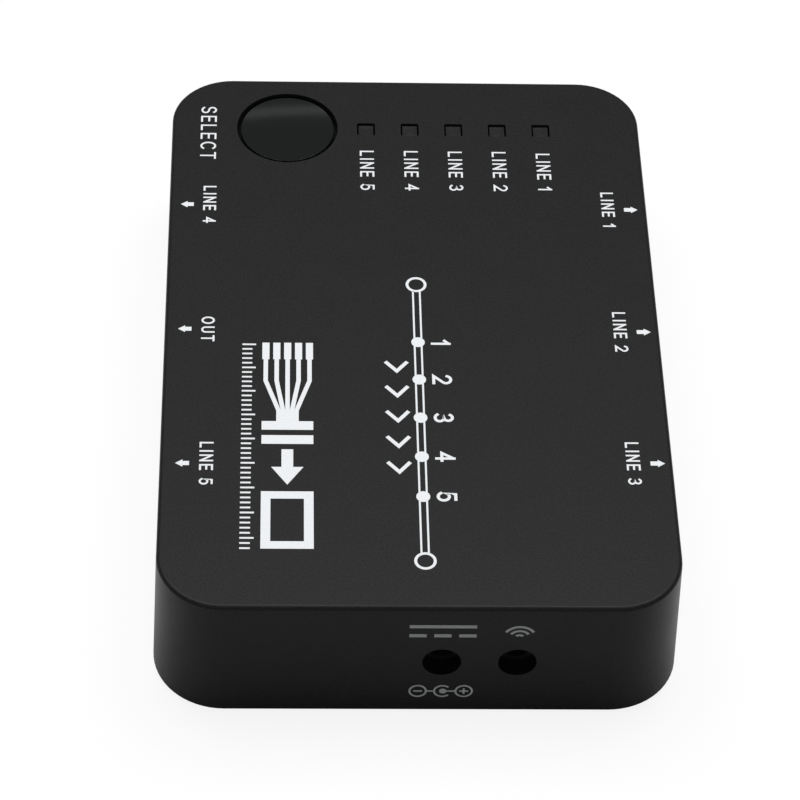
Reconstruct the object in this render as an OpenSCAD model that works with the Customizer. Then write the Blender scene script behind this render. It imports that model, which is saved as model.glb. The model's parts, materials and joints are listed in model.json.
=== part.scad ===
// Five-input, one-output video switch box: a moulded case with six video sockets along its long
// sides, a power jack and a remote-sensor jack at the near end, one round select button and five
// status windows on top, and the circuit board, switch and light pipe that they need inside.
// Units are millimetres. X runs across the box, Y along it towards the button end, Z up.
// The origin is the middle of the footprint, on the surface that the rubber feet stand on.

/* [Case] */
// Width of the case across X, at the top
case_w = 70; // [66:1:80]
// Length of the case along Y, at the top
case_l = 103.2; // [100:0.1:120]
// Height of the case without its feet
case_h = 20.6; // [20:0.2:26]
// Radius of the four upright corners, seen from above, at the top
corner_r = 9; // [8:0.25:10]
// Thickness of the walls at the top
wall = 2; // [1.6:0.1:2.2]
// Thickness of the top
top_t = 2; // [1.6:0.1:2.4]
// Radius of the top outer edge
edge_r = 0.6; // [0.2:0.1:1]
// How far the walls lean out from the top edge to the bottom edge
wall_lean = 0.8; // [0:0.1:1.2]
// Thickness of the base plate
base_t = 2; // [1.6:0.1:2.4]
// Thickness of the thin rim that the base plate sits inside
rim_t = 1.2; // [1:0.1:1.4]

/* [Button] */
// Distance from the left side of the case to the button's middle
button_from_side = 17.2; // [17:0.1:17.6]
// Distance from the far end of the case to the button's middle
button_from_end = 10.7; // [10.5:0.1:14]
// Diameter of the round hole in the top
button_hole_d = 15.1; // [13:0.1:15.5]
// Ring gap between the button and its hole
button_gap = 0.55; // [0.4:0.05:0.8]
// How far the button's rim lies below the top
button_sink = 0.3; // [0.2:0.05:0.8]
// Rise of the button's dome over its rim
button_dome = 0.2; // [0.1:0.05:0.6]
// Diameter of the retaining flange under the top
button_flange_d = 16.6; // [16.2:0.1:16.8]
// Thickness of the retaining flange
button_flange_t = 1.2; // [0.8:0.1:1.6]
// Diameter of the stem that pushes the switch
button_stem_d = 5; // [4:0.1:6]
// Wall of the guide collar under the top
collar_t = 0.9; // [0.8:0.1:1]
// Travel of the button
button_travel = 0.3; // [0.2:0.05:0.4]

/* [Status windows] */
// Number of status windows
window_count = 5; // [3:1:5]
// Distance from the button's middle to the middle of the row of windows
window_from_button = 24.9; // [24.7:0.1:25.3]
// Distance between neighbouring windows
window_pitch = 6.56; // [6:0.01:6.6]
// Size of each square window
window_size = 2.7; // [2.2:0.1:2.9]
// Radius of the windows' corners
window_r = 0.3; // [0.1:0.05:0.5]
// How far the row of windows lies nearer than the button's middle
window_back = 0.2; // [0:0.1:1]
// How far the light pipe lies below the top
window_sink = 0.3; // [0.2:0.1:1]
// Gap between the light pipe's posts and the windows' sides
window_gap = 0.25; // [0.1:0.05:0.5]
// Thickness of the bar that joins the light pipe's posts
light_bar_t = 1.2; // [1:0.1:1.6]
// Width of that bar
light_bar_w = 4.6; // [4:0.1:6]
// Length of the bar past the outer windows
light_bar_end = 0.8; // [0.6:0.1:1]
// Diameter of the pegs that hold the bar
light_peg_d = 1.4; // [1.2:0.1:1.6]

/* [Video sockets] */
// Middle of the rows of sockets along the case
socket_mid_y = -1.1; // [-2:0.1:2]
// Distance between neighbouring sockets
socket_pitch = 25.2; // [22:0.1:26]
// Width inside the socket's metal shell
socket_w = 14; // [13.8:0.1:14.2]
// Height inside the socket's metal shell
socket_h = 4.55; // [4.4:0.05:4.8]
// Width of the flat at the bottom of the opening
socket_floor_w = 10.4; // [10:0.1:11]
// Height of the straight part of the opening's sides
socket_side_h = 2.7; // [2.4:0.1:3]
// Sheet thickness of the metal shell
socket_shell_t = 0.3; // [0.2:0.05:0.4]
// Length of the socket from its mouth to its back
socket_depth = 11.5; // [10.5:0.1:12.5]
// How far the mouth lies inside the case's outer face, at the socket's height
socket_recess = 0.6; // [0.3:0.1:1]
// Height of the shell over the board
socket_lift = 0.45; // [0.3:0.05:0.8]
// Thickness of the tongue that carries the contacts
tongue_t = 1.2; // [1:0.05:1.4]
// Width of the tongue
tongue_w = 10.8; // [10.6:0.1:11.2]
// How far the tongue's tip lies inside the mouth
tongue_sink = 1.8; // [1.4:0.1:2.4]
// Length of the insulator block at the back of the socket
insulator_l = 3.6; // [3:0.1:5]
// Contacts in the upper row, one more than in the lower row
contact_count = 10; // [10:1:10]
// Distance between contacts in a row
contact_pitch = 1; // [0.95:0.01:1]
// Width of a contact
contact_w = 0.4; // [0.3:0.05:0.45]
// Sheet thickness of a contact
contact_t = 0.15; // [0.1:0.05:0.2]

/* [Power and remote jacks] */
// Height of both jacks' axes over the bottom edge of the case
jack_height = 9.8; // [9.3:0.1:10.4]
// Height of both jacks' axes over the board
jack_axis_h = 3.2; // [3:0.1:3.4]
// Power jack, right of the case's middle
power_x = 3.05; // [2:0.05:4]
// Remote-sensor jack, right of the power jack
jack_pitch = 10.1; // [9.5:0.05:11]
// Diameter of the round holes in the case's end wall
jack_hole_d = 5.2; // [4.8:0.1:5.6]
// Bore of the power jack
power_bore_d = 3.9; // [3.7:0.1:4.2]
// Depth of the power jack's bore
power_bore_l = 9; // [8:0.1:9.5]
// Diameter of the power jack's centre pin
power_pin_d = 1.3; // [1.2:0.05:1.5]
// Width of the power jack's housing
power_jack_w = 6.6; // [6.4:0.1:7.5]
// Length of the power jack's housing
power_jack_l = 11; // [10.5:0.1:12.5]
// Bore of the remote jack
remote_bore_d = 3.6; // [3.55:0.05:3.7]
// Depth of the remote jack's bore
remote_bore_l = 13; // [12:0.1:13.4]
// Width of the remote jack's housing
remote_jack_w = 7; // [6.6:0.1:7.5]
// Length of the remote jack's housing
remote_jack_l = 14.5; // [14.2:0.1:16]
// Height of both jacks' housings over the board
jack_body_h = 6.2; // [6.2:0.1:6.8]

/* [Circuit board] */
// Thickness of the circuit board
board_t = 1.6; // [1.2:0.1:1.6]
// Gap between the board and the walls
board_gap = 0.6; // [0.4:0.1:1]
// Width of the switch chip's body
chip_w = 10; // [7:1:12]
// Height of the small switch's body under its cover
tact_body_h = 3.1; // [3:0.1:3.6]
// Height of the small switch's plunger over the board
tact_h = 7; // [6.5:0.1:7.5]
// Width of the small switch
tact_w = 6; // [6:0.1:6.4]
// Diameter of the small switch's plunger
tact_plunger_d = 3.4; // [3:0.1:3.5]

/* [Screws and feet] */
// Distance from the case's side and end faces to the screws
screw_inset = 6.45; // [6.4:0.05:6.8]
// Outer diameter of the screw posts
post_d = 5.5; // [5:0.1:5.6]
// Diameter of the screw shank
screw_d = 2.2; // [2:0.1:2.4]
// Diameter of the screw head
screw_head_d = 4.4; // [4:0.1:4.5]
// Height of the screw head
screw_head_h = 1.6; // [1.4:0.1:1.8]
// Length of the screw under its head
screw_l = 9; // [8:0.5:11]
// Diameter of a rubber foot
foot_d = 8; // [6:0.5:10]
// How far a foot stands below the case
foot_h = 1; // [0.6:0.1:2]
// How deep a foot sits in the base plate
foot_sink = 0.5; // [0.3:0.1:0.8]
// Distance from the case's side faces to the middles of the feet
foot_inset_x = 14; // [13:0.5:18]
// Distance from the case's end faces to the middles of the feet
foot_inset_y = 10; // [9:0.5:16]

/* [Hidden] */
// Clearance between fixed pieces that fit together
fit_gap = 0.1;
// Clearance around the sockets in the case's walls
socket_gap = 0.25;
// Running clearance between the small switch's plunger and its cover
plunger_gap = 0.08;
// Gap between the button's flange and the top, at rest
flange_gap = 0.1;
// Sliding clearance between the button's flange and its guide collar
collar_gap = 0.15;
// Gap between the guide collar and the board
collar_lift = 0.2;
// Overlap used where two shapes of one solid are joined, or a cut runs past a face
eps = 0.2;
$fn = 64;

// Levels over the surface that the feet stand on
case_z = foot_h;
top_z = case_z + case_h;
ceiling_z = top_z - top_t;
floor_z = case_z + base_t;
jack_z = case_z + jack_height;
board_z = jack_z - jack_axis_h;
board_low_z = board_z - board_t;

// How far the walls' outer faces stand out at a level, past the top edge
function lean_at(z) = wall_lean * (top_z - z) / case_h;

// Places in plan
button_x = -case_w / 2 + button_from_side;
window_mid_x = button_x + window_from_button;
button_y = case_l / 2 - button_from_end;
window_y = button_y - window_back;
window_x = [for (i = [0 : window_count - 1]) window_mid_x + (i - (window_count - 1) / 2) * window_pitch];
screw_x = case_w / 2 - screw_inset;
screw_y = case_l / 2 - screw_inset;
foot_x = case_w / 2 - foot_inset_x;
foot_y = case_l / 2 - foot_inset_y;
remote_x = power_x + jack_pitch;
jack_y = -case_l / 2 + wall + fit_gap;

// Board outline
board_w = case_w - 2 * (wall + board_gap);
board_l = case_l - 2 * (wall + board_gap);
board_r = corner_r - wall - board_gap;

// Sockets: name, side of the case, and place in the row from the near end
PORTS = [
    ["in_1", 1, 1], ["in_2", 1, 0], ["in_3", 1, -1],
    ["in_4", -1, 1], ["out", -1, 0], ["in_5", -1, -1]
];
socket_floor_z = socket_lift + socket_shell_t;
socket_leg_t = socket_shell_t;
socket_leg_w = 1.2;
socket_leg_x = [-4, -9.4];
socket_leg_out = 0.8;
tongue_z = socket_floor_z + socket_h * 0.5;
socket_mouth_x = case_w / 2 + lean_at(board_z + tongue_z) - socket_recess;
contact_tail_l = 1;

// Small switch under the button
tact_cover_t = 0.3;
tact_well_d = 4.8;
tact_well_h = 1.4;
tact_dome_t = 0.12;
tact_dome_h = button_travel + tact_dome_t + 0.08;
tact_leg_w = 0.7;
tact_leg_t = 0.3;
tact_leg_y = 2.25;
tact_leg_reach = 0.6;

// Button levels
button_rim_z = top_z - button_sink;
button_flange_z = ceiling_z - flange_gap - button_flange_t;
button_d = button_hole_d - 2 * button_gap;
button_dome_r = (button_d * button_d / 4 + button_dome * button_dome) / (2 * button_dome);
tact_top_z = board_z + tact_h;
collar_in_d = button_flange_d + 2 * collar_gap;
collar_out_d = collar_in_d + 2 * collar_t;

// Status lights on the board
led_size = [2, 1.25, 0.8];
led_gap = 0.4;
peg_foot_h = 0.5;

CORNERS = [[1, 1], [-1, 1], [-1, -1], [1, -1]];
FOOT_NAMES = ["far_right", "far_left", "near_left", "near_right"];

// Shared shapes

// Rectangle with true round corners, centred
module round_rect(w, l, r) {
    square([w - 2 * r, l], center = true);
    square([w, l - 2 * r], center = true);
    for (c = CORNERS) translate([c[0] * (w / 2 - r), c[1] * (l / 2 - r)]) circle(r);
}

// Upright slab with that outline
module slab(w, l, r, z0, z1) {
    translate([0, 0, z0]) linear_extrude(z1 - z0) round_rect(w, l, r);
}

// Box given by its middle in X and Y and its lower and upper levels
module block(x, y, w, l, z0, z1) {
    translate([x - w / 2, y - l / 2, z0]) cube([w, l, z1 - z0]);
}

// Upright round bar
module post(x, y, d, z0, z1) {
    translate([x, y, z0]) cylinder(d = d, h = z1 - z0);
}

// Round bar along Y from y0 to y1
module rod_y(x, z, d, y0, y1) {
    translate([x, y0, z]) rotate([-90, 0, 0]) cylinder(d = d, h = y1 - y0);
}

// Puts its children at a socket: +X points out of the mouth, Z is 0 on the board
module at_socket(p) {
    translate([p[1] * socket_mouth_x, socket_mid_y + p[2] * socket_pitch, board_z])
        rotate([0, 0, p[1] > 0 ? 0 : 180]) children();
}

// Case

// Section through a wall and the top beside it, from the corner's axis outwards; the round of the top
// edge meets the leaning outer face without a kink
module wall_section() {
    slant = sqrt(case_h * case_h + wall_lean * wall_lean);
    round_x = corner_r - edge_r * (slant - wall_lean) / case_h;
    round_z = case_h - edge_r;
    meet_x = round_x + edge_r * case_h / slant;
    meet_z = round_z + edge_r * wall_lean / slant;
    difference() {
        union() {
            polygon([[0, 0], [corner_r + wall_lean, 0], [meet_x, meet_z],
                     [round_x, round_z], [round_x, case_h], [0, case_h]]);
            translate([round_x, round_z]) circle(edge_r);
        }
        translate([-eps, -eps]) square([corner_r - wall + eps, case_h - top_t + eps]);
        translate([-eps, -eps]) square([corner_r + wall_lean - rim_t + eps, base_t + eps]);
    }
}

// Open-bottomed shell: four round corners, four straight walls and the middle of the top
module shell() {
    straight_w = case_w - 2 * corner_r;
    straight_l = case_l - 2 * corner_r;
    for (i = [0 : 3])
        translate([CORNERS[i][0] * straight_w / 2, CORNERS[i][1] * straight_l / 2, case_z])
            rotate([0, 0, 90 * i]) rotate_extrude(angle = 90) wall_section();
    for (s = [1, -1]) {
        translate([s * straight_w / 2, s * straight_l / 2, case_z]) rotate([90, 0, s > 0 ? 0 : 180])
            linear_extrude(straight_l) wall_section();
        translate([-s * straight_w / 2, s * straight_l / 2, case_z]) rotate([90, 0, s * 90])
            linear_extrude(straight_w) wall_section();
    }
    block(0, 0, straight_w, straight_l, ceiling_z, top_z);
}

// Collar under the top that guides the button's flange and keeps the lamps' light out of the button's gap;
// it is cut away where a socket stands close by
module button_collar() {
    difference() {
        post(button_x, button_y, collar_out_d, board_z + collar_lift, ceiling_z + eps);
        post(button_x, button_y, collar_in_d, board_z, ceiling_z);
        for (p = PORTS) at_socket(p) socket_room();
    }
}

module top_cover() {
    color([0.18, 0.18, 0.18]) difference() {
        union() {
            shell();
            for (c = CORNERS) post(c[0] * screw_x, c[1] * screw_y, post_d, board_z, ceiling_z + eps);
            for (s = [-1, 1]) light_peg(s, light_peg_d);
            button_collar();
        }
        post(button_x, button_y, button_hole_d, ceiling_z - eps, top_z + eps);
        for (x = window_x) translate([x, window_y, 0])
            slab(window_size, window_size, window_r, ceiling_z - eps, top_z + eps);
        for (x = [power_x, remote_x])
            rod_y(x, jack_z, jack_hole_d, -case_l / 2 - wall_lean - eps, -case_l / 2 + wall + eps);
        for (p = PORTS) at_socket(p)
            socket_prism(socket_shell_t + socket_gap, -wall - wall_lean, socket_recess + wall_lean + eps);
        for (c = CORNERS)
            post(c[0] * screw_x, c[1] * screw_y, screw_d + 2 * fit_gap, board_z - eps, screw_tip_z + fit_gap);
    }
}

module base_cover() {
    inset = rim_t + fit_gap - wall_lean;
    color([0.17, 0.17, 0.17]) difference() {
        union() {
            slab(case_w - 2 * inset, case_l - 2 * inset, corner_r - inset, case_z, floor_z);
            for (c = CORNERS) post(c[0] * screw_x, c[1] * screw_y, post_d, floor_z - eps, board_low_z);
        }
        for (c = CORNERS) {
            post(c[0] * screw_x, c[1] * screw_y, screw_head_d + 4 * fit_gap, case_z - eps, screw_seat_z);
            post(c[0] * screw_x, c[1] * screw_y, screw_d + 4 * fit_gap, case_z, board_low_z + eps);
            post(c[0] * foot_x, c[1] * foot_y, foot_d + 2 * fit_gap, case_z - eps, case_z + foot_sink);
        }
    }
}

// Screws stand head down in the base plate and hold the base and the board to the cover's posts
screw_seat_z = case_z + screw_head_h + 2 * fit_gap;
screw_tip_z = screw_seat_z + screw_l;
screw_slot_w = 0.7;
screw_slot_l = 2.6;
screw_slot_h = 1;

module case_screws() {
    head_z = screw_seat_z - screw_head_h;
    color([0.25, 0.25, 0.27]) for (c = CORNERS) translate([c[0] * screw_x, c[1] * screw_y, 0])
        difference() {
            union() {
                post(0, 0, screw_head_d, head_z, screw_seat_z);
                post(0, 0, screw_d, screw_seat_z - eps, screw_tip_z);
            }
            for (a = [0, 90]) rotate([0, 0, a])
                block(0, 0, screw_slot_l, screw_slot_w, head_z - eps, head_z + screw_slot_h);
        }
}

module foot(i) {
    color([0.05, 0.05, 0.05])
        post(CORNERS[i][0] * foot_x, CORNERS[i][1] * foot_y, foot_d, 0, case_z + foot_sink);
}

// Button and the small switch under it

// Domed cap with a flange that the top holds back and a stem that stands on the switch
module select_button() {
    color([0.13, 0.14, 0.13]) union() {
        intersection() {
            post(button_x, button_y, button_d, button_flange_z, top_z);
            translate([button_x, button_y, button_rim_z + button_dome - button_dome_r])
                sphere(button_dome_r, $fn = 128);
        }
        post(button_x, button_y, button_flange_d, button_flange_z, button_flange_z + button_flange_t);
        post(button_x, button_y, button_stem_d, tact_top_z, button_flange_z + eps);
    }
}

tact_floor_z = board_z + tact_body_h - tact_well_h;
tact_cover_z = board_z + tact_body_h;

module tact_base() {
    color([0.08, 0.08, 0.08]) difference() {
        block(button_x, button_y, tact_w, tact_w, board_z, tact_cover_z);
        post(button_x, button_y, tact_well_d, tact_floor_z, tact_cover_z + eps);
    }
}

// Snap dome: a shallow bowl of thin sheet, upside down on the floor of the well
module tact_dome() {
    rim_r = tact_well_d / 2 - fit_gap;
    ball_r = (rim_r * rim_r + tact_dome_h * tact_dome_h) / (2 * tact_dome_h);
    color([0.75, 0.75, 0.75]) translate([button_x, button_y, tact_floor_z]) intersection() {
        cylinder(r = rim_r + fit_gap / 2, h = tact_dome_h + eps);
        translate([0, 0, tact_dome_h - ball_r]) difference() {
            sphere(ball_r, $fn = 128);
            sphere(ball_r - tact_dome_t, $fn = 128);
        }
    }
}

module tact_plunger() {
    skirt_d = tact_well_d - 4 * fit_gap;
    color([0.12, 0.12, 0.12]) union() {
        post(button_x, button_y, skirt_d, tact_floor_z + tact_dome_h, tact_cover_z - fit_gap / 2);
        post(button_x, button_y, tact_plunger_d, tact_floor_z + tact_dome_h, tact_top_z);
    }
}

module tact_cover() {
    color([0.75, 0.75, 0.75]) difference() {
        block(button_x, button_y, tact_w, tact_w, tact_cover_z, tact_cover_z + tact_cover_t);
        post(button_x, button_y, tact_plunger_d + 2 * plunger_gap,
             tact_cover_z - eps, tact_cover_z + tact_cover_t + eps);
    }
}

// Four legs on two sides of the switch, down through the board
module tact_terminals() {
    color([0.8, 0.8, 0.78]) for (s = [-1, 1], t = [-1, 1])
        block(button_x + s * (tact_w + tact_leg_t) / 2, button_y + t * tact_leg_y, tact_leg_t, tact_leg_w,
              board_low_z - tact_leg_reach, board_z + tact_body_h / 2);
}

// Light pipe and status lights

// Middle of a peg, between the last two windows on one side
function light_peg_x(s) = window_mid_x + s * (window_count - 2) / 2 * window_pitch;

module light_peg(s, d) {
    post(light_peg_x(s), window_y, d, ceiling_z - light_bar_t - peg_foot_h, ceiling_z + eps);
}

// Smoke-grey clear bar under the top with one post for each window, which reaches from just over its
// light to just below the top
module light_pipe() {
    post_w = window_size - 2 * window_gap;
    bar_l = (window_count - 1) * window_pitch + window_size + 2 * light_bar_end;
    color([0.2, 0.2, 0.19]) difference() {
        union() {
            block(window_mid_x, window_y, bar_l, light_bar_w, ceiling_z - light_bar_t, ceiling_z);
            for (x = window_x)
                block(x, window_y, post_w, post_w, board_z + led_size[2] + led_gap, top_z - window_sink);
        }
        for (s = [-1, 1]) light_peg(s, light_peg_d + 2 * fit_gap);
    }
}

module status_lights() {
    color([0.95, 0.95, 0.9]) for (x = window_x)
        block(x, window_y, led_size[0], led_size[1], board_z, board_z + led_size[2]);
}

// Video sockets, in the frame of at_socket()

// Outline of the opening, grown by a margin; X is along the case, Y is the height over the board
module socket_outline(margin) {
    half = socket_w / 2 + margin;
    half_floor = socket_floor_w / 2 + margin;
    low = socket_floor_z - margin;
    high = socket_floor_z + socket_h + margin;
    side = socket_floor_z + socket_h - socket_side_h;
    polygon([[-half_floor, low], [half_floor, low], [half, side],
             [half, high], [-half, high], [-half, side]]);
}

// That outline as a bar along X, from x0 to x1
module socket_prism(margin, x0, x1) {
    translate([x0, 0, 0]) rotate([90, 0, 90]) linear_extrude(x1 - x0) socket_outline(margin);
}

// Free room that a socket and its contacts need over the board
module socket_room() {
    length = socket_depth + contact_tail_l + socket_gap;
    half = socket_w / 2 + socket_shell_t + socket_gap;
    height = socket_floor_z + socket_h + socket_shell_t + socket_gap;
    translate([-length, -half, -eps]) cube([length, 2 * half, height + eps]);
}

// Legs of the metal shell, down through the board; grow widens them for the board's slots
module socket_legs(grow) {
    top = socket_floor_z + socket_h - socket_side_h / 2;
    for (x = socket_leg_x, s = [-1, 1])
        block(x, s * (socket_w + socket_leg_t) / 2, socket_leg_w + 2 * grow, socket_leg_t + 2 * grow,
              -board_t - socket_leg_out, top);
}

module socket_shell(p) {
    color([0.78, 0.78, 0.8]) at_socket(p) union() {
        difference() {
            socket_prism(socket_shell_t, -socket_depth, 0);
            socket_prism(0, -socket_depth - eps, eps);
        }
        socket_legs(0);
    }
}

// One row of contacts: strips on a face of the tongue, through the insulator and out at its back
module contact_row(count, z0) {
    back = -socket_depth;
    for (i = [0 : count - 1]) {
        y = (i - (count - 1) / 2) * contact_pitch;
        translate([back - contact_tail_l, y - contact_w / 2, z0])
            cube([socket_depth + contact_tail_l - tongue_sink - contact_w, contact_w, contact_t]);
        translate([back - contact_tail_l, y - contact_w / 2, 0])
            cube([contact_t, contact_w, z0 + contact_t]);
    }
}

module contact_set() {
    contact_row(contact_count, tongue_z + tongue_t / 2);
    contact_row(contact_count - 1, tongue_z - tongue_t / 2 - contact_t);
}

module socket_insulator(p) {
    color([0.05, 0.05, 0.05]) at_socket(p) difference() {
        union() {
            socket_prism(0, -socket_depth, insulator_l - socket_depth);
            translate([-socket_depth, -tongue_w / 2, tongue_z - tongue_t / 2])
                cube([socket_depth - tongue_sink, tongue_w, tongue_t]);
        }
        contact_set();
    }
}

module socket_contacts(p) {
    color([0.83, 0.69, 0.3]) at_socket(p) contact_set();
}

// Power jack and remote-sensor jack

// Housing on the board behind a hole in the end wall, with a blind bore
module jack_housing(x, w, l, bore_d, bore_l) {
    difference() {
        block(x, jack_y + l / 2, w, l, board_z, board_z + jack_body_h);
        rod_y(x, jack_z, bore_d, jack_y - eps, jack_y + bore_l);
    }
}

// How far the power pin's tip lies inside the housing's front
power_pin_sink = 1.6;

module power_jack_housing() {
    color([0.05, 0.05, 0.05]) difference() {
        jack_housing(power_x, power_jack_w, power_jack_l, power_bore_d, power_bore_l);
        rod_y(power_x, jack_z, power_pin_d, jack_y + power_bore_l - eps, jack_y + power_jack_l + eps);
    }
}

// Centre pin, held in the back of the housing, with a rounded tip
module power_jack_pin() {
    tip_y = jack_y + power_pin_sink;
    color([0.8, 0.8, 0.78]) union() {
        rod_y(power_x, jack_z, power_pin_d, tip_y + power_pin_d / 2, jack_y + power_jack_l);
        translate([power_x, tip_y + power_pin_d / 2, jack_z]) sphere(d = power_pin_d);
    }
}

// Flat tabs on the outside of a jack's housing, down through the board: [side, distance from the front]
module jack_tabs(x, w, tabs, grow) {
    tab_t = 0.3;
    tab_w = 1.4;
    for (t = tabs)
        block(x + t[0] * (w + tab_t) / 2, jack_y + t[1], tab_t + 2 * grow, tab_w + 2 * grow,
              board_low_z - socket_leg_out, jack_z);
}

POWER_TABS = [[-1, 3.5], [1, 5.5], [-1, 8.5]];
REMOTE_TABS = [[-1, 3], [1, 3], [-1, 9], [1, 11]];

module power_jack_terminals() {
    color([0.8, 0.8, 0.78]) jack_tabs(power_x, power_jack_w, POWER_TABS, 0);
}

module remote_jack_housing() {
    color([0.05, 0.05, 0.05])
        jack_housing(remote_x, remote_jack_w, remote_jack_l, remote_bore_d, remote_bore_l);
}

module remote_jack_terminals() {
    color([0.8, 0.8, 0.78]) jack_tabs(remote_x, remote_jack_w, REMOTE_TABS, 0);
}

// Circuit board and its parts

module main_board() {
    color([0.05, 0.32, 0.16]) difference() {
        slab(board_w, board_l, board_r, board_low_z, board_z);
        for (c = CORNERS)
            post(c[0] * screw_x, c[1] * screw_y, screw_d + 4 * fit_gap, board_low_z - eps, board_z + eps);
        for (p = PORTS) at_socket(p) socket_legs(fit_gap);
        jack_tabs(power_x, power_jack_w, POWER_TABS, fit_gap);
        jack_tabs(remote_x, remote_jack_w, REMOTE_TABS, fit_gap);
        for (s = [-1, 1], t = [-1, 1])
            block(button_x + s * (tact_w + tact_leg_t) / 2, button_y + t * tact_leg_y,
                  tact_leg_t + 2 * fit_gap, tact_leg_w + 2 * fit_gap, board_low_z - eps, board_z + eps);
    }
}

// Chip body a little over the board, and its leads round the sides in the given list
chip_lift = 0.1;
chip_body_h = 1.4;
lead_t = 0.15;
lead_w = 0.25;
lead_reach = 1;
chip_pitch = 0.5;
control_x = -3;
control_y = 24;
control_w = 6;
control_l = 12;
control_pitch = 1.27;

// Leads along one side of a chip body: from the body's middle height out and down to the board
module lead_row(half, run, pitch) {
    count = floor((run - 1) / pitch);
    mid_z = board_z + chip_lift + chip_body_h / 2;
    for (i = [0 : count]) translate([half, (i - count / 2) * pitch - lead_w / 2, 0]) {
        translate([0, 0, mid_z]) cube([lead_reach / 2, lead_w, lead_t]);
        translate([lead_reach / 2 - lead_t, 0, board_z]) cube([lead_t, lead_w, mid_z - board_z + lead_t]);
        translate([lead_reach / 2 - lead_t, 0, board_z]) cube([lead_reach / 2, lead_w, lead_t]);
    }
}

module chip_body(x, y, w, l) {
    block(x, y, w, l, board_z + chip_lift, board_z + chip_lift + chip_body_h);
}

module switch_chip() {
    color([0.07, 0.07, 0.07]) chip_body(0, socket_mid_y, chip_w, chip_w);
}

module switch_chip_leads() {
    color([0.8, 0.8, 0.78]) for (a = [0 : 90 : 270])
        translate([0, socket_mid_y, 0]) rotate([0, 0, a]) lead_row(chip_w / 2, chip_w, chip_pitch);
}

module control_chip() {
    color([0.07, 0.07, 0.07]) chip_body(control_x, control_y, control_w, control_l);
}

module control_chip_leads() {
    color([0.8, 0.8, 0.78]) for (a = [0, 180])
        translate([control_x, control_y, 0]) rotate([0, 0, a])
            lead_row(control_w / 2, control_l, control_pitch);
}

crystal_x = 8;
crystal_y = 22;
crystal_size = [4.6, 11, 3.4];

// Metal can with round ends, standing flat on the board
module crystal() {
    color([0.78, 0.78, 0.8])
        translate([crystal_x, crystal_y, board_z]) linear_extrude(crystal_size[2]) union() {
            square([crystal_size[0], crystal_size[1] - crystal_size[0]], center = true);
            for (s = [-1, 1])
                translate([0, s * (crystal_size[1] - crystal_size[0]) / 2]) circle(d = crystal_size[0]);
        }
}

regulator_x = -10;
regulator_from_end = 15.5;
regulator_y = -case_l / 2 + regulator_from_end;
regulator_size = [6.5, 3.5, 1.6];
regulator_tab = [3, 1.6, 0.25];
regulator_leg_w = 0.7;
regulator_pitch = 2.3;

// Voltage regulator: a body with one wide tab and three legs
module regulator() {
    color([0.07, 0.07, 0.07]) union() {
        block(regulator_x, regulator_y, regulator_size[0], regulator_size[1],
              board_z, board_z + regulator_size[2]);
        block(regulator_x, regulator_y + regulator_size[1] / 2, regulator_tab[0], 2 * regulator_tab[1],
              board_z, board_z + regulator_tab[2]);
        for (i = [-1 : 1])
            block(regulator_x + i * regulator_pitch, regulator_y - regulator_size[1] / 2,
                  regulator_leg_w, 2 * regulator_tab[1], board_z, board_z + regulator_tab[2]);
    }
}

coil_from_side = 15;
coil_from_end = 10.5;
coil_x = -case_w / 2 + coil_from_side;
coil_y = -case_l / 2 + coil_from_end;
coil_size = [6, 6, 2.8];
coil_foot_h = 0.6;
coil_margin = 0.2;

// Power coil: a round winding can on a square foot
module power_coil() {
    color([0.2, 0.2, 0.2]) union() {
        block(coil_x, coil_y, coil_size[0], coil_size[1], board_z, board_z + coil_foot_h);
        post(coil_x, coil_y, coil_size[0] - 2 * coil_margin,
             board_z + coil_foot_h - eps, board_z + coil_size[2]);
    }
}

capacitor_from_end = 23.5;
capacitor_y = -case_l / 2 + capacitor_from_end;
capacitor_x = [-5, 3];
CAPACITORS = [for (x = capacitor_x) [x, capacitor_y]];
capacitor_d = 5;
capacitor_h = 5.4;
capacitor_foot = 5.3;
capacitor_foot_h = 0.8;

// Round capacitor cans, each on a square foot
module power_capacitors() {
    color([0.75, 0.75, 0.77]) for (c = CAPACITORS) union() {
        block(c[0], c[1], capacitor_foot, capacitor_foot, board_z, board_z + capacitor_foot_h);
        post(c[0], c[1], capacitor_d, board_z + capacitor_foot_h - eps, board_z + capacitor_h);
    }
}

guard_size = [2.5, 1, 0.6];
guard_behind = 3;
guard_spread = [-4.5, -1.5, 1.5, 4.5];

// Surge guards, four behind each socket
module guard_arrays() {
    color([0.07, 0.07, 0.07]) for (p = PORTS) at_socket(p) for (y = guard_spread)
        block(-socket_depth - contact_tail_l - guard_behind, y,
              guard_size[1], guard_size[0], 0, guard_size[2]);
}

chip_part = [1.6, 0.8, 0.5];
chip_step = 2.6;
resistor_rows = [12, 9.5];
capacitor_rows = [-11.5, -14, -18];
RESISTORS = [for (y = resistor_rows, i = [-3 : 3]) [i * chip_step, y]];
CAPS = [for (y = capacitor_rows, i = [-3 : 3]) [i * chip_step, y]];

module chip_parts(places) {
    for (c = places) block(c[0], c[1], chip_part[0], chip_part[1], board_z, board_z + chip_part[2]);
}

module chip_resistors() {
    color([0.1, 0.1, 0.12]) chip_parts(RESISTORS);
}

module chip_capacitors() {
    color([0.62, 0.47, 0.32]) chip_parts(CAPS);
}

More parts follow.
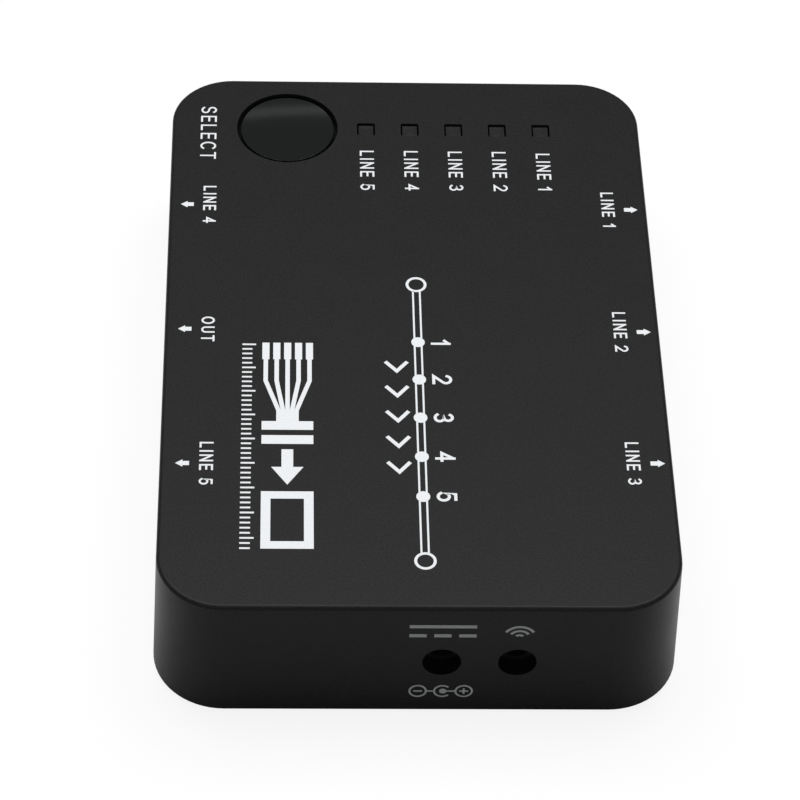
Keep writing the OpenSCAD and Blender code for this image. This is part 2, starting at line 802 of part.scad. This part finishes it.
top_cover();
base_cover();
case_screws();
for (i = [0 : 3]) foot(i);
select_button();
light_pipe();
main_board();
status_lights();
tact_base();
tact_dome();
tact_plunger();
tact_cover();
tact_terminals();
power_jack_housing();
power_jack_pin();
power_jack_terminals();
remote_jack_housing();
remote_jack_terminals();
switch_chip();
switch_chip_leads();
control_chip();
control_chip_leads();
crystal();
regulator();
power_coil();
power_capacitors();
guard_arrays();
chip_resistors();
chip_capacitors();
for (p = PORTS) {
    socket_shell(p);
    socket_insulator(p);
    socket_contacts(p);
}
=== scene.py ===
"""Looks of a five-input video switch box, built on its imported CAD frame."""

import json
import math

import bmesh
import bpy
from mathutils import Matrix, Quaternion, Vector


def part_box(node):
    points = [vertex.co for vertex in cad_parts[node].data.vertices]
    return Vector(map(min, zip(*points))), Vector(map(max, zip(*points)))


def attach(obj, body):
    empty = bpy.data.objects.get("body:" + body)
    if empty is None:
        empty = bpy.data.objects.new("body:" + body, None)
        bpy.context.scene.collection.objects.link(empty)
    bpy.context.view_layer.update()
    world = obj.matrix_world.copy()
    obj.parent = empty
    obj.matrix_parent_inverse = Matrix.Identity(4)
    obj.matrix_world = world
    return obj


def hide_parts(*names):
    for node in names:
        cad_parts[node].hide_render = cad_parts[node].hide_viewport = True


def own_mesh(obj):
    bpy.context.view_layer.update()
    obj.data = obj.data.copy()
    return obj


MM = 0.001

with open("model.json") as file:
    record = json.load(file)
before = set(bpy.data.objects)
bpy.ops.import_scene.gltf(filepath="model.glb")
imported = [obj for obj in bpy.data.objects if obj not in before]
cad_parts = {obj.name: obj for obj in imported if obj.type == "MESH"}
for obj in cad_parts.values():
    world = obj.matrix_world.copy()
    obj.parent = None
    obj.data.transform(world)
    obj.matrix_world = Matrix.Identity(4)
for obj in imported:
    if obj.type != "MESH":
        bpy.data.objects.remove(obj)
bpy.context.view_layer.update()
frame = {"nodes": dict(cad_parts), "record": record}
NODES = frame["nodes"]

# Measures of the case that the marks are placed by, in millimetres
TOP_Z = 21.6
CEILING_Z = 19.6
RIM_Z = 1.0
CASE_H = TOP_Z - RIM_Z
FRONT_Y = -51.6
LEAN = 0.8
SOCKET_MID_Y = -1.1
WINDOWS_X = [7.1 + (i - 2) * 6.56 for i in range(5)]
BUTTON = (-17.8, 40.9)
POWER_X = 3.05
REMOTE_X = 13.15
WINDOW_Y = 40.7
LENS_W = 2.2


# Materials


def new_material(name):
    """A material with an empty Principled shader: (material, node tree, shader)."""
    mat = bpy.data.materials.new(name)
    mat.use_nodes = True
    tree = mat.node_tree
    return mat, tree, tree.nodes["Principled BSDF"]


def noise(tree, scale, detail, coords):
    """A noise texture over the object's own coordinates, one cycle per 1/scale metres."""
    tex = tree.nodes.new("ShaderNodeTexNoise")
    tex.inputs["Scale"].default_value = scale
    tex.inputs["Detail"].default_value = detail
    tree.links.new(coords, tex.inputs["Vector"])
    return tex.outputs["Fac"]


def spread(tree, value, low, high):
    """The noise's middle range stretched to run from low to high."""
    node = tree.nodes.new("ShaderNodeMapRange")
    node.inputs["From Min"].default_value = 0.3
    node.inputs["From Max"].default_value = 0.7
    node.inputs["To Min"].default_value = low
    node.inputs["To Max"].default_value = high
    tree.links.new(value, node.inputs["Value"])
    return node.outputs["Result"]


def two_tone(tree, value, dark, light):
    """A colour between two tones, led by a noise."""
    ramp = tree.nodes.new("ShaderNodeValToRGB")
    ramp.color_ramp.elements[0].position = 0.3
    ramp.color_ramp.elements[0].color = (*dark, 1)
    ramp.color_ramp.elements[1].position = 0.7
    ramp.color_ramp.elements[1].color = (*light, 1)
    tree.links.new(value, ramp.inputs["Fac"])
    return ramp.outputs["Color"]


def bump(tree, shader, value, height_mm):
    """Relief of that height on the shader's normal."""
    node = tree.nodes.new("ShaderNodeBump")
    node.inputs["Strength"].default_value = 1.0
    node.inputs["Distance"].default_value = height_mm * MM
    tree.links.new(value, node.inputs["Height"])
    tree.links.new(node.outputs["Normal"], shader.inputs["Normal"])


def grained(name, dark, light, rough, grain_mm, relief_mm, specular=0.5, metallic=0.0, blotch_mm=6.0):
    """A moulded, painted or plated surface: fine grain in relief and in tone, and slow changes of gloss."""
    mat, tree, shader = new_material(name)
    coords = tree.nodes.new("ShaderNodeTexCoord").outputs["Object"]
    fine = noise(tree, 1 / (grain_mm * MM), 2.0, coords)
    slow = noise(tree, 1 / (blotch_mm * MM), 3.0, coords)
    tree.links.new(two_tone(tree, fine, dark, light), shader.inputs["Base Color"])
    tree.links.new(spread(tree, slow, rough[0], rough[1]), shader.inputs["Roughness"])
    shader.inputs["Specular IOR Level"].default_value = specular
    shader.inputs["Metallic"].default_value = metallic
    bump(tree, shader, fine, relief_mm)
    return mat


CASE = grained("case_plastic", (0.012, 0.0122, 0.0122), (0.0198, 0.02, 0.02), (0.35, 0.39), 0.28, 0.008, 0.09)
CAP = grained("button_plastic", (0.0105, 0.0129, 0.012), (0.0121, 0.0145, 0.0136), (0.085, 0.1), 0.3, 0.0004)
LENS = grained("clear_plastic", (0.0165, 0.0165, 0.0162), (0.0205, 0.0205, 0.02), (0.16, 0.19), 0.5, 0.0004)
RUBBER = grained("foot_rubber", (0.012, 0.012, 0.012), (0.022, 0.022, 0.022), (0.75, 0.85), 0.3, 0.02, 0.3)
SCREW = grained("screw_steel", (0.16, 0.16, 0.17), (0.24, 0.24, 0.25), (0.3, 0.42), 0.25, 0.003, 0.5, 1.0)
BOARD = grained("board_laminate", (0.008, 0.07, 0.03), (0.012, 0.095, 0.042), (0.3, 0.4), 0.4, 0.004)
LAMP = grained("lamp_resin", (0.72, 0.72, 0.62), (0.82, 0.82, 0.72), (0.2, 0.3), 0.4, 0.002)
NYLON = grained("black_nylon", (0.010, 0.010, 0.010), (0.016, 0.016, 0.016), (0.42, 0.52), 0.18, 0.006, 0.4)
TIN = grained("tinned_steel", (0.55, 0.55, 0.53), (0.66, 0.66, 0.64), (0.26, 0.36), 0.3, 0.002, 0.5, 1.0)
CHIP = grained("chip_resin", (0.018, 0.018, 0.02), (0.028, 0.028, 0.03), (0.55, 0.65), 0.15, 0.006, 0.4)
CAN = grained("can_aluminium", (0.66, 0.66, 0.68), (0.74, 0.74, 0.76), (0.25, 0.34), 0.25, 0.002, 0.5, 1.0)
CERAMIC = grained("chip_ceramic", (0.36, 0.25, 0.15), (0.46, 0.33, 0.2), (0.5, 0.6), 0.2, 0.004)
NICKEL = grained("shell_nickel", (0.62, 0.61, 0.59), (0.72, 0.71, 0.69), (0.2, 0.3), 0.4, 0.002, 0.5, 1.0)
GOLD = grained("contact_gold", (0.72, 0.5, 0.18), (0.8, 0.58, 0.24), (0.2, 0.28), 0.3, 0.001, 0.5, 1.0)
WHITE_INK = grained("white_ink", (0.76, 0.78, 0.80), (0.86, 0.88, 0.90), (0.5, 0.6), 0.2, 0.003, 0.3)

SLOT_LOOKS = {
    "case_plastic": CASE, "button_plastic": CAP, "clear_plastic": LENS, "foot_rubber": RUBBER,
    "screw_steel": SCREW, "board_laminate": BOARD, "lamp_resin": LAMP, "black_nylon": NYLON,
    "tinned_steel": TIN, "chip_resin": CHIP, "can_aluminium": CAN, "chip_ceramic": CERAMIC,
    "shell_nickel": NICKEL, "contact_gold": GOLD,
}
for part in frame["record"]["subparts"]:
    mesh = NODES[part["node"]].data
    mesh.materials.clear()
    mesh.materials.append(SLOT_LOOKS[part["material_slot"]])


# Mesh helpers


def finish_piece(bm, name, look, body):
    """Turns a bmesh in millimetres into a piece that rides on a body."""
    bm.normal_update()
    mesh = bpy.data.meshes.new(name)
    bm.to_mesh(mesh)
    bm.free()
    mesh.transform(Matrix.Scale(MM, 4))
    mesh.materials.append(look)
    obj = bpy.data.objects.new(name, mesh)
    bpy.context.collection.objects.link(obj)
    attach(obj, body)
    return obj


# Edges that bend more than this aren't smoothed over
SHARP = math.radians(30)


def lathe(name, profile, centre, look, body, segments=128):
    """A turned piece: (radius, height) points in millimetres, spun about an upright axis."""
    bm = bmesh.new()
    verts = [bm.verts.new((r, 0, z)) for r, z in profile]
    edges = [bm.edges.new(pair) for pair in zip(verts, verts[1:])]
    bmesh.ops.spin(bm, geom=verts + edges, cent=(0, 0, 0), axis=(0, 0, 1), angle=2 * math.pi, steps=segments,
                   use_merge=True, use_duplicate=False)
    bmesh.ops.remove_doubles(bm, verts=bm.verts, dist=1e-5)
    bmesh.ops.recalc_face_normals(bm, faces=bm.faces)
    bmesh.ops.translate(bm, verts=bm.verts, vec=(*centre, 0))
    for f in bm.faces:
        f.smooth = True
    for e in bm.edges:
        e.smooth = e.calc_face_angle(0.0) < SHARP
    return finish_piece(bm, name, look, body)


def arc(cx, cz, r, start, end, steps):
    """Points on an arc, angles in degrees from +radius towards +height."""
    out = []
    for i in range(steps + 1):
        a = math.radians(start + (end - start) * i / steps)
        out.append((cx + r * math.cos(a), cz + r * math.sin(a)))
    return out


# Printed marks: thin raised ink. A mark is drawn flat, in (u, v) millimetres, and laid on a face.

INK = 0.02
INK_STEP = 0.001
SUNK = 0.01


def on_top(u, v, w):
    """Top face: u runs towards the near end, v to the right, as all marks there read."""
    return (v, -u, TOP_Z + w)


def on_front(u, v, w):
    """Near end, which leans: u runs to the right, v up from the lower rim of the case."""
    return (u, FRONT_Y - LEAN * (CASE_H - v) / CASE_H - w, RIM_Z + v)


def lay(bm, place):
    """Moves a flat drawing onto a face of the case."""
    for vert in bm.verts:
        vert.co = Vector(place(*vert.co))


def add_plate(bm, points):
    """A flat plate of ink with this outline.

    Neighbours differ a little in height, so no two faces coincide.
    """
    height = INK + INK_STEP * (len(bm.faces) % 7)
    low = [bm.verts.new((u, v, -SUNK)) for u, v in points]
    high = [bm.verts.new((u, v, height)) for u, v in points]
    bm.faces.new(high)
    bm.faces.new(list(reversed(low)))
    for i in range(len(points)):
        j = (i + 1) % len(points)
        bm.faces.new((low[i], low[j], high[j], high[i]))


def add_bar(bm, u0, v0, u1, v1):
    add_plate(bm, [(u0, v0), (u1, v0), (u1, v1), (u0, v1)])


def add_stroke(bm, points, width, cap=0.0):
    """A line of even width through these points, with its corners joined.

    Its two ends reach further by the cap.
    """
    points = [Vector(p) for p in points]
    points[0] += (points[0] - points[1]).normalized() * cap
    points[-1] += (points[-1] - points[-2]).normalized() * cap
    left, right = [], []
    for i, p in enumerate(points):
        before = (p - points[i - 1]).normalized() if i else None
        after = (points[i + 1] - p).normalized() if i + 1 < len(points) else None
        along = ((before or after) + (after or before)).normalized()
        across = Vector((-along.y, along.x))
        reach = width / 2 / max(0.3, along.dot(after or before))
        left.append(p + across * reach)
        right.append(p - across * reach)
    for i in range(len(points) - 1):
        add_plate(bm, [right[i], right[i + 1], left[i + 1], left[i]])


def add_ring(bm, u, v, r, width, steps=32, start=0.0, end=360.0):
    """A ring, or part of one, of ink."""
    turns = [math.radians(start + (end - start) * i / steps) for i in range(steps + 1)]
    for a, b in zip(turns, turns[1:]):
        add_plate(bm, [(u + q * math.cos(t), v + q * math.sin(t))
                       for t, q in ((a, r), (b, r), (b, r - width), (a, r - width))])


def add_disc(bm, u, v, r, steps=24):
    add_plate(bm, [(u + r * math.cos(2 * math.pi * i / steps), v + r * math.sin(2 * math.pi * i / steps))
                   for i in range(steps)])


def bow(cx, cy, rx, ry, start, end, steps=14):
    """Points on part of an ellipse, angles in degrees."""
    turns = [math.radians(start + (end - start) * i / steps) for i in range(steps + 1)]
    return [(cx + rx * math.cos(t), cy + ry * math.sin(t)) for t in turns]


# Plain letters and numbers as middle lines of their strokes, one unit high: (width, strokes)
GLYPHS = {
    "C": (0.66, [bow(0.36, 0.5, 0.36, 0.5, 45, 315, 22)]),
    "E": (0.5, [[(0.5, 1), (0, 1), (0, 0), (0.5, 0)], [(0, 0.52), (0.45, 0.52)]]),
    "I": (0.0, [[(0, 0), (0, 1)]]),
    "L": (0.46, [[(0, 1), (0, 0), (0.46, 0)]]),
    "N": (0.6, [[(0, 0), (0, 1)], [(0.04, 0.93), (0.56, 0.07)], [(0.6, 0), (0.6, 1)]]),
    "O": (0.72, [bow(0.36, 0.5, 0.36, 0.5, 0, 360, 28)]),
    "S": (0.56, [bow(0.28, 0.745, 0.26, 0.255, 25, 270) + bow(0.28, 0.245, 0.28, 0.245, 90, -155)[1:]]),
    "T": (0.56, [[(0, 1), (0.56, 1)], [(0.28, 1), (0.28, 0)]]),
    "U": (0.58, [[(0, 1)] + bow(0.29, 0.3, 0.29, 0.3, 180, 360) + [(0.58, 1)]]),
    "1": (0.24, [[(0, 0.72), (0.2, 0.93)], [(0.24, 1), (0.24, 0)]]),
    "2": (0.56, [bow(0.28, 0.72, 0.28, 0.28, 165, -35) + [(0, 0), (0.56, 0)]]),
    "3": (0.54, [bow(0.26, 0.755, 0.24, 0.245, 150, -90) + bow(0.26, 0.255, 0.28, 0.255, 90, -150)[1:]]),
    "4": (0.58, [[(0.42, 0), (0.42, 1)], [(0.4, 0.94), (0, 0.3), (0.58, 0.3)]]),
    "5": (0.56, [[(0.5, 1), (0.1, 1), (0.04, 0.5)] + bow(0.27, 0.32, 0.29, 0.32, 140, -150)]),
    " ": (0.1, []),
}


def add_words(bm, words, u0, u1, v0, v1, line=0.28, gap=0.26):
    """Plain letters or numbers in strokes of even width, as high as the box and in its middle along u."""
    high = v1 - v0 - line
    step = line + gap * (v1 - v0)
    widths = [GLYPHS[c][0] * high for c in words]
    long = sum(widths) + step * (len(words) - 1) + line
    squeeze = min(1.0, (u1 - u0 - line) / (long - line))
    u = (u0 + u1) / 2 - squeeze * (long - line) / 2
    for c, w in zip(words, widths):
        for stroke in GLYPHS[c][1]:
            points = [(u + squeeze * x * high, v0 + line / 2 + y * high) for x, y in stroke]
            add_stroke(bm, points, line, line / 2)
        u += squeeze * (w + step)


def mark(name, place, draw):
    """One printed mark: draw() fills a flat drawing, which is laid on a face of the case."""
    bm = bmesh.new()
    draw(bm)
    bmesh.ops.remove_doubles(bm, verts=bm.verts, dist=1e-4)
    lay(bm, place)
    bmesh.ops.recalc_face_normals(bm, faces=bm.faces)
    finish_piece(bm, name, WHITE_INK, "case")


# Select button: domed cap with a fine rounded rim, in place of the CAD button


def build_button():
    low_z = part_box("select_button")[0][2] / MM
    side_r = 7.0
    draft = 0.07
    rim = 0.012
    dome = 0.2
    sink = 0.3
    flange_r = 8.3
    flange_h = 1.2
    flange_gap = 0.1
    chamfer = 0.1
    stem_r = 2.5
    r = side_r - draft
    rim_z = TOP_Z - sink
    big = (r * r + dome * dome) / (2 * dome)
    slope = math.degrees(math.asin((r - rim) / big))
    middle_z = rim_z + dome - big
    # The last narrow ring keeps the shading of the crown and of the rim apart
    crown = arc(0, middle_z, big, 90, 90 - 0.97 * slope, 24)
    crown += arc(0, middle_z, big, 90 - 0.998 * slope, 90 - slope, 1)
    edge_z = crown[-1][1]
    rounding = arc(r - rim, edge_z - rim, rim, 90 - slope, 0, 8)
    flange_top = CEILING_Z - flange_gap
    flange_low = flange_top - flange_h
    flange = [(side_r, flange_top), (flange_r - chamfer, flange_top), (flange_r, flange_top - chamfer),
              (flange_r, flange_low)]
    stem = [(stem_r, flange_low), (stem_r, low_z), (0, low_z)]
    profile = crown[:-1] + rounding + flange + stem
    piece = lathe("select_cap", profile, BUTTON, CAP, "button")
    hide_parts("select_button")


build_button()


# Snap dome of the small switch: a fixed shell of sheet metal, drawn as it stands before the plunger flattens
# it


def build_snap_dome():
    low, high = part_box("tact_dome")
    floor_z = low[2] / MM
    rise = (high[2] - low[2]) / MM
    rim_r = (high[0] - low[0]) / MM / 2
    sheet = 0.12
    outer_r = (rim_r * rim_r + rise * rise) / (2 * rise)
    inner_r = outer_r - sheet
    middle_z = floor_z + rise - outer_r
    outer_rim = math.degrees(math.asin((floor_z - middle_z) / outer_r))
    inner_rim = math.degrees(math.asin((floor_z - middle_z) / inner_r))
    profile = arc(0, middle_z, outer_r, 90, outer_rim, 16) + arc(0, middle_z, inner_r, inner_rim, 90, 16)
    piece = lathe("snap_dome", profile, BUTTON, TIN, "case", 64)
    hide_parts("tact_dome")
    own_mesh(piece)


build_snap_dome()


# Lenses: a low pillow of clear plastic on each post of the light pipe


def build_lens(name, x, post_z):
    margin = 0.03
    a = LENS_W / 2 - margin
    crown = 0.03
    skirt = 0.02
    steps = 12
    bm = bmesh.new()
    places = [a * (2 * i / steps - 1) for i in range(steps + 1)]

    def height(u, v):
        return post_z + skirt + crown * (1 - (u / a) ** 2) * (1 - (v / a) ** 2)

    grid = [[bm.verts.new((x + u, WINDOW_Y + v, height(u, v))) for u in places] for v in places]
    for low, high in zip(grid, grid[1:]):
        for i in range(steps):
            bm.faces.new((low[i], low[i + 1], high[i + 1], high[i])).smooth = True
    rim = [e for e in bm.edges if e.is_boundary]
    for edge in rim:
        edge.smooth = False
    wall = bmesh.ops.extrude_edge_only(bm, edges=rim)["geom"]
    for item in wall:
        if isinstance(item, bmesh.types.BMVert):
            item.co.z = post_z - skirt
    bmesh.ops.recalc_face_normals(bm, faces=bm.faces)
    finish_piece(bm, name, LENS, "case")


for i, x in enumerate(WINDOWS_X):
    build_lens(f"window_lens_{5 - i}", x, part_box("light_pipe")[1][2] / MM)


# Marks on the top


def draw_words(words, u0, u1, v0, v1):
    return lambda bm: add_words(bm, words, u0, u1, v0, v1)


def draw_arrow(tail, tip, u):
    """A short solid arrow across the case."""
    way = 1 if tip > tail else -1
    head_l = 1.0
    neck = tip - way * head_l
    shaft = 0.38
    head = 0.66

    def draw(bm):
        add_plate(bm, [(u - shaft, tail), (u + shaft, tail), (u + shaft, neck), (u - shaft, neck)][::way])
        add_plate(bm, [(u - head, neck), (u + head, neck), (u, tip)][::way])
    return draw


for i, x in enumerate(WINDOWS_X):
    mark(f"window_mark_{5 - i}", on_top, draw_words(f"LINE {5 - i}", -36.5, -27.0, x - 1.0, x + 1.1))
mark("button_mark", on_top, draw_words("SELECT", -45.7, -33.6, -30.75, -28.4))


def mark_sockets(labels, pitch, slant, label, arrow):
    """Labels and arrows of one side's sockets, far one first, in a row that slants a little."""
    reach = 4.8
    for row, words in zip((1, 0, -1), labels):
        u = -(SOCKET_MID_Y + row * pitch)
        v = row * slant
        tag = words.lower().replace(" ", "_")
        mark(f"socket_mark_{tag}", on_top, draw_words(words, u - reach, u + reach, label[0] + v, label[1] + v))
        mark(f"socket_arrow_{tag}", on_top, draw_arrow(arrow[0] + v, arrow[1] + v, u))


mark_sockets(("LINE 4", "OUT", "LINE 5"), 25.3, -0.23, (-29.85, -27.95), (-31.22, -33.12))
mark_sockets(("LINE 1", "LINE 2", "LINE 3"), 24.9, -0.13, (28.5, 30.4), (31.8, 33.8))


def draw_flow(bm):
    """Five lines that run into one: what the box does, as a plain diagram."""
    v0, v1 = -21.2, -14.1
    mid = (v0 + v1) / 2
    line = 0.62
    step = (v1 - v0 - 1.0) / 4
    for i in range(5):
        v = v0 + 0.5 + i * step
        add_bar(bm, 3.7, v - 0.5, 6.9, v + 0.5)
        lane = mid + (i - 2) * line
        add_stroke(bm, [(6.9, v), (11.0, v), (16.6, lane), (18.6, lane)], line)
    add_bar(bm, 18.6, v0, 20.2, v1)
    add_bar(bm, 21.2, v0, 22.8, v1)
    add_bar(bm, 23.8, mid - 0.8, 27.0, mid + 0.8)
    add_plate(bm, [(27.0, mid - 2.2), (30.2, mid), (27.0, mid + 2.2)])
    for u in (31.4, 40.2):
        add_bar(bm, u, v0, u + 1.3, v1)
    add_bar(bm, 32.7, v0, 40.2, v0 + 1.3)
    add_bar(bm, 32.7, v1 - 1.3, 40.2, v1)


def draw_ruler(bm):
    """A row of fine ticks beside the diagram."""
    for i in range(43):
        u = 3.9 + i * 0.89
        add_bar(bm, u, -24.0, u + 0.3, -22.6 if i % 5 else -22.1)


# Places of the selector scale's five stops, along u
STOPS = [3.4 + i * 7.2 for i in range(5)]


def draw_scale(bm):
    """A selector scale: a twin line with five stops."""
    v = 0.7
    ends = (-8.0, 43.5)
    breaks = [ends[0] + 1.3] + [u + reach for u in STOPS for reach in (-0.75, 0.75)] + [ends[1] - 1.3]
    for a, b in zip(breaks[::2], breaks[1::2]):
        for side in (-1, 1):
            add_bar(bm, a, v + side * 0.49 - 0.13, b, v + side * 0.49 + 0.13)
    for u in ends:
        add_ring(bm, u, v, 1.5, 0.4)
    for u in STOPS:
        add_disc(bm, u, v, 0.95)


def draw_numbers(bm):
    """The stops' numbers."""
    for i, u in enumerate(STOPS):
        add_words(bm, str(i + 1), u - 1.2, u + 1.2, 2.5, 5.3, 0.42)


def draw_chevrons(bm):
    """Five chevrons beside the scale."""
    for i in range(5):
        u = 7.2 + i * 4.7
        add_stroke(bm, [(u, -4.0), (u + 1.8, -2.4), (u, -0.9)], 0.55)


mark("flow_mark", on_top, draw_flow)
mark("ruler_mark", on_top, draw_ruler)
mark("scale_mark", on_top, draw_scale)
mark("scale_numbers", on_top, draw_numbers)
mark("scale_chevrons", on_top, draw_chevrons)


# Marks on the near end


def draw_direct_current(bm):
    """The plain sign for direct current: a line over three dashes."""
    left = POWER_X - 4.5
    add_bar(bm, left, 16.7, left + 8.9, 17.3)
    for i in range(3):
        add_bar(bm, left + i * 3.3, 14.9, left + i * 3.3 + 2.3, 15.5)


def draw_waves(bm):
    """Three arcs for a sensor."""
    for r in (0.7, 1.5, 2.3):
        add_ring(bm, REMOTE_X, 14.9, r, 0.4, 16, 30, 150)


def draw_polarity(bm):
    """The plain sign for a centre-positive power plug."""
    u, v = POWER_X + 0.1, 3.85
    for side in (-1, 1):
        add_ring(bm, u + side * 3.1, v, 1.25, 0.28)
        add_bar(bm, u + side * 3.1 - 0.6, v - 0.14, u + side * 3.1 + 0.6, v + 0.14)
    add_bar(bm, u + 2.96, v - 0.55, u + 3.24, v + 0.55)
    add_ring(bm, u + 0.22, v, 1.25, 0.28, 24, 45, 315)
    add_disc(bm, u + 0.28, v, 0.5)
    add_bar(bm, u - 1.88, v - 0.13, u - 0.98, v + 0.13)
    add_bar(bm, u + 0.5, v - 0.13, u + 1.88, v + 0.13)


mark("power_mark", on_front, draw_direct_current)
mark("remote_mark", on_front, draw_waves)
mark("polarity_mark", on_front, draw_polarity)


# Stage, lights and camera


def build_floor():
    """A pale floor. The camera sees it nearly white, and the case mirrors it as it is lit, with the shadow."""
    white_share = 0.88
    mesh = bpy.data.meshes.new("floor")
    s = 6.0
    mesh.from_pydata([(-s, -s, 0), (s, -s, 0), (s, s, 0), (-s, s, 0)], [], [(0, 1, 2, 3)])
    floor = bpy.data.objects.new("floor", mesh)
    bpy.context.collection.objects.link(floor)
    mat = bpy.data.materials.new("floor")
    mat.use_nodes = True
    tree = mat.node_tree
    tree.nodes.remove(tree.nodes["Principled BSDF"])
    out = tree.nodes["Material Output"]
    matte = tree.nodes.new("ShaderNodeBsdfDiffuse")
    matte.inputs["Color"].default_value = (0.06, 0.06, 0.06, 1)
    paper = tree.nodes.new("ShaderNodeBsdfDiffuse")
    paper.inputs["Color"].default_value = (1, 1, 1, 1)
    glow = tree.nodes.new("ShaderNodeEmission")
    glow.inputs["Color"].default_value = (1, 1, 1, 1)
    glow.inputs["Strength"].default_value = 1.0
    path = tree.nodes.new("ShaderNodeLightPath")
    seen = path.outputs["Is Camera Ray"]
    for other in ("Is Glossy Ray", "Is Transmission Ray"):
        either = tree.nodes.new("ShaderNodeMath")
        either.operation = "MAXIMUM"
        tree.links.new(seen, either.inputs[0])
        tree.links.new(path.outputs[other], either.inputs[1])
        seen = either.outputs["Value"]
    white = tree.nodes.new("ShaderNodeMixShader")
    share = tree.nodes.new("ShaderNodeMath")
    share.operation = "MULTIPLY"
    share.inputs[1].default_value = white_share
    tree.links.new(path.outputs["Is Camera Ray"], share.inputs[0])
    tree.links.new(share.outputs["Value"], white.inputs["Fac"])
    mix = tree.nodes.new("ShaderNodeMixShader")
    tree.links.new(paper.outputs["BSDF"], white.inputs[1])
    tree.links.new(glow.outputs["Emission"], white.inputs[2])
    tree.links.new(seen, mix.inputs["Fac"])
    tree.links.new(matte.outputs["BSDF"], mix.inputs[1])
    tree.links.new(white.outputs["Shader"], mix.inputs[2])
    tree.links.new(mix.outputs["Shader"], out.inputs["Surface"])
    mesh.materials.append(mat)


def softbox(name, place, target, width, height, power, turn=0.0):
    """A soft lamp that faces a point, turned about its own axis by some degrees."""
    lamp = bpy.data.lights.new(name, "AREA")
    lamp.shape = "RECTANGLE"
    lamp.size = width
    lamp.size_y = height
    lamp.energy = power
    obj = bpy.data.objects.new(name, lamp)
    bpy.context.collection.objects.link(obj)
    obj.location = place
    facing = (Vector(target) - Vector(place)).to_track_quat("-Z", "Y")
    obj.rotation_euler = (facing @ Quaternion((0, 0, 1), math.radians(turn))).to_euler()


def build_lights():
    world = bpy.data.worlds.new("studio")
    bpy.context.scene.world = world
    world.use_nodes = True
    sky = world.node_tree.nodes["Background"]
    sky.inputs["Color"].default_value = (1, 1, 1, 1)
    sky.inputs["Strength"].default_value = 0.045
    softbox("back_light", (0.0, 1.273, 0.995), (0, 0.04, 0.02), 0.34, 0.055, 0.034, 7)
    softbox("top_light", (0.0, 0.5, 1.5), (0, 0.5, 0), 1.6, 1.06, 31.5)
    softbox("front_light", (0.0, -1.1, 0.5), (0, 0, 0.01), 2.2, 0.8, 2.1)


def build_camera():
    """The camera fitted to the photograph, with its distance and target in millimetres."""
    frame_px = 800
    focal_px = 3250.77417
    elevation = math.radians(47.2746)
    azimuth = math.radians(-3.21492)
    roll = math.radians(2.73778)
    distance = 480.46758
    target = Vector((-0.93291, 5.79561, TOP_Z - 22))
    level = math.cos(elevation)
    back = Vector((math.sin(azimuth) * level, -math.cos(azimuth) * level, math.sin(elevation)))
    right = (-back).cross(Vector((0, 0, 1))).normalized()
    up = right.cross(-back)
    right_r = math.cos(roll) * right + math.sin(roll) * up
    up_r = -math.sin(roll) * right + math.cos(roll) * up
    data = bpy.data.cameras.new("camera")
    data.sensor_width = 36.0
    data.sensor_fit = "HORIZONTAL"
    data.lens = focal_px * data.sensor_width / frame_px
    data.clip_start = 0.01
    cam = bpy.data.objects.new("camera", data)
    bpy.context.collection.objects.link(cam)
    place = (target + back * distance) * MM
    cam.matrix_world = Matrix((
        (right_r.x, up_r.x, back.x, place.x),
        (right_r.y, up_r.y, back.y, place.y),
        (right_r.z, up_r.z, back.z, place.z),
        (0, 0, 0, 1)))
    bpy.context.scene.camera = cam


build_floor()
build_lights()
build_camera()
bpy.context.scene.view_settings.view_transform = "Standard"

bpy.context.view_layer.update()
